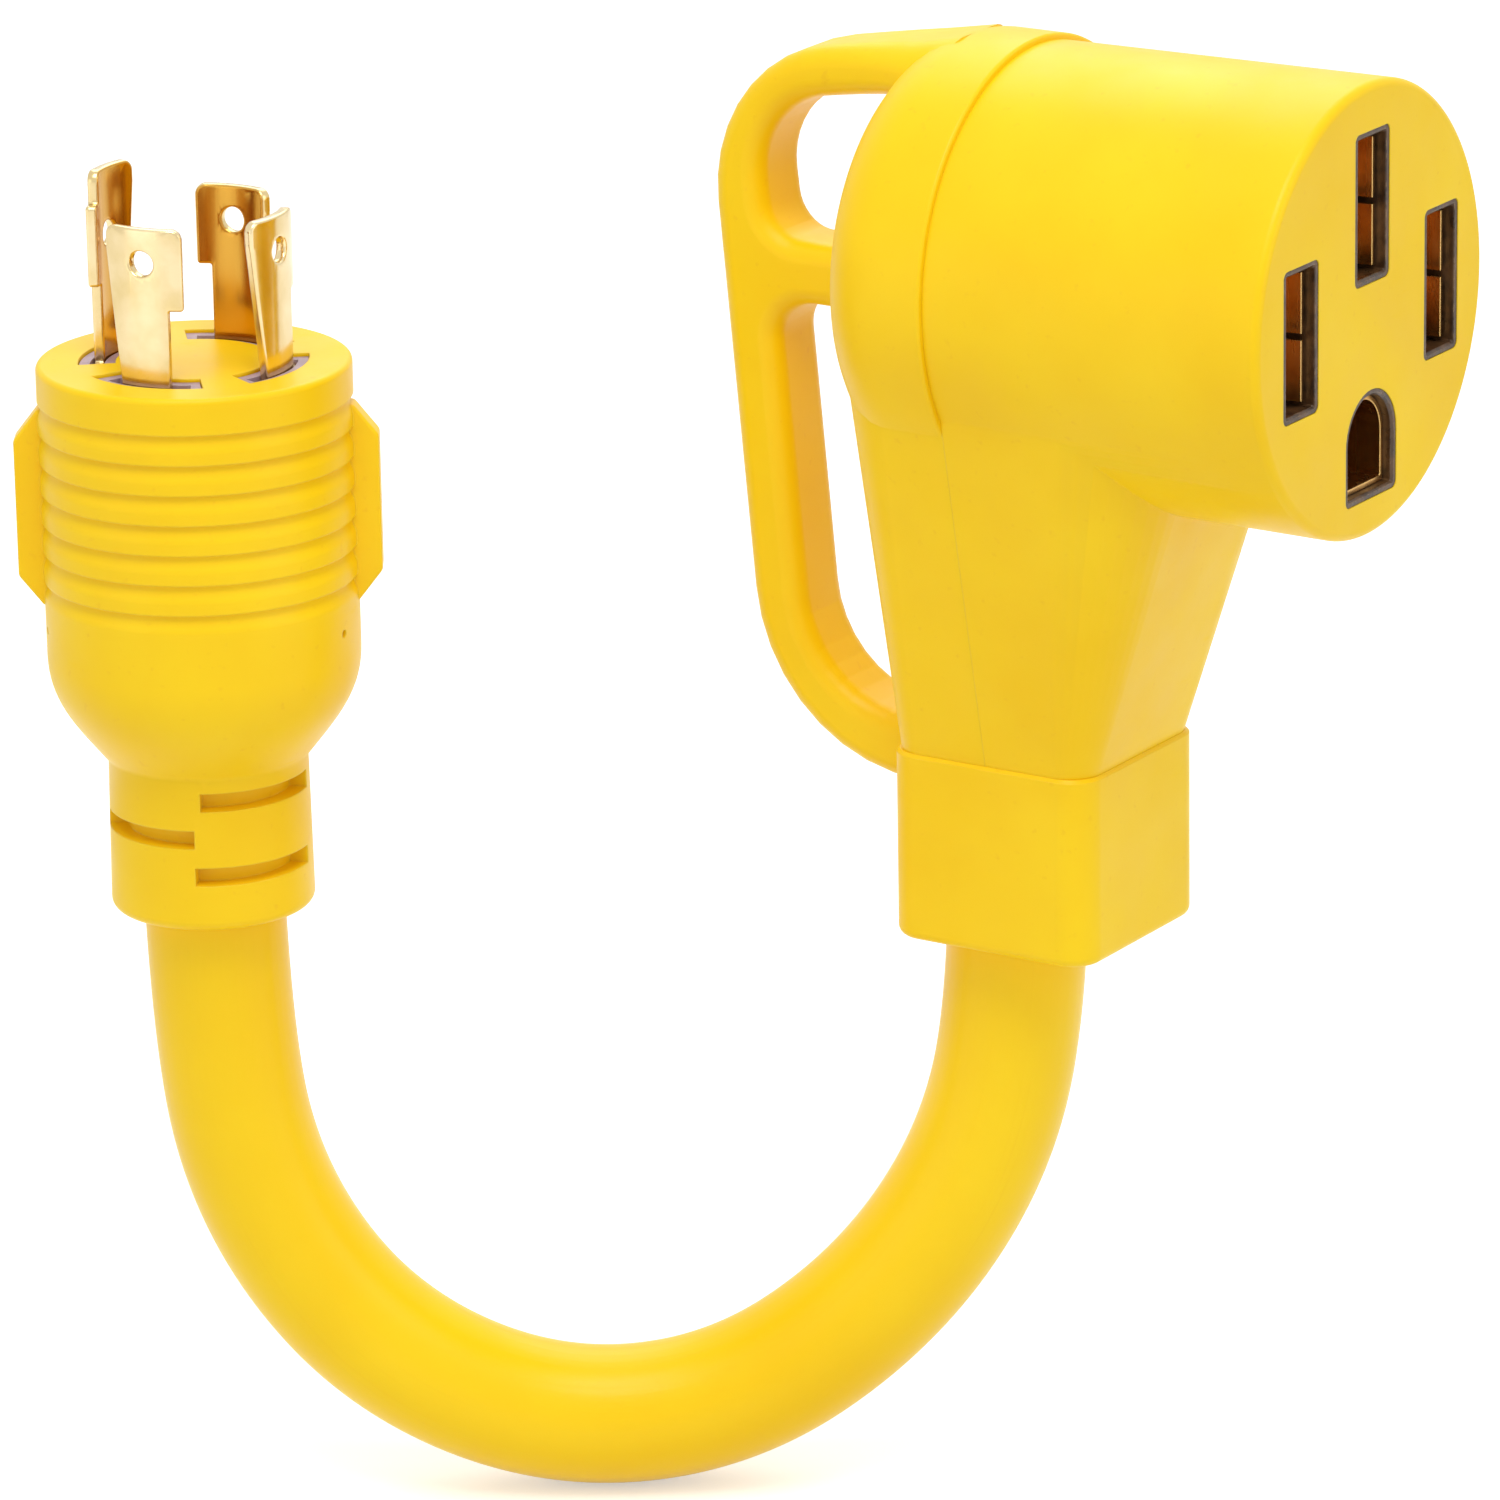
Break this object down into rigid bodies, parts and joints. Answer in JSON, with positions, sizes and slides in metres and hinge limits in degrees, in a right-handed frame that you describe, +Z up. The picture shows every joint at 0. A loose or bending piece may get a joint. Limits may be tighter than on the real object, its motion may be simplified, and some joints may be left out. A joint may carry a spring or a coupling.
{
  "type": "generator adapter cord",
  "caption": "Short yellow adapter cord: locking plug with curved brass blades, thick bent cord and an angled receptacle head with a carrying loop.",
  "frame": {"origin": "centre of the socket face of the receptacle head", "axes": "+X out of the socket face along the barrel, +Z up, against the way the cord leaves the head; the head is symmetric about the XZ plane"},
  "size_m": [0.1672, 0.1108, 0.2032],
  "materials": {
    "yellow_shell": "satin moulded vinyl",
    "yellow_jacket": "smooth satin vinyl jacket",
    "dark_carrier": "dark brown thermoset",
    "grey_insert": "satin grey nylon",
    "brass_contact": "bright stamped spring brass",
    "brass_blade": "bright stamped brass",
    "copper_strand": "bare stranded copper",
    "separator_wrap": "paper and jute",
    "black_insulation": "smooth vinyl",
    "white_insulation": "smooth vinyl",
    "red_insulation": "smooth vinyl",
    "green_insulation": "smooth vinyl"
  },
  "bodies": {
    "root": {"front_shell": "yellow_shell", "rear_cover_with_handle": "yellow_shell", "cord_collar": "yellow_shell", "contact_carrier": "dark_carrier", "contact_retainer_plate": "dark_carrier", "cord_jacket": "yellow_jacket", "conductor_wrap": "separator_wrap", "centre_filler": "separator_wrap", "hot_one_socket_contact": "brass_contact", "hot_one_plug_blade": "brass_blade", "hot_one_wire_insulation": "black_insulation", "hot_one_wire_core": "copper_strand", "neutral_socket_contact": "brass_contact", "neutral_plug_blade": "brass_blade", "neutral_wire_insulation": "white_insulation", "neutral_wire_core": "copper_strand", "hot_two_socket_contact": "brass_contact", "hot_two_plug_blade": "brass_blade", "hot_two_wire_insulation": "red_insulation", "hot_two_wire_core": "copper_strand", "ground_socket_contact": "brass_contact", "ground_plug_blade": "brass_blade", "ground_wire_insulation": "green_insulation", "ground_wire_core": "copper_strand", "plug_shell": "yellow_shell", "plug_blade_insert": "grey_insert"}
  },
  "joints": []
}
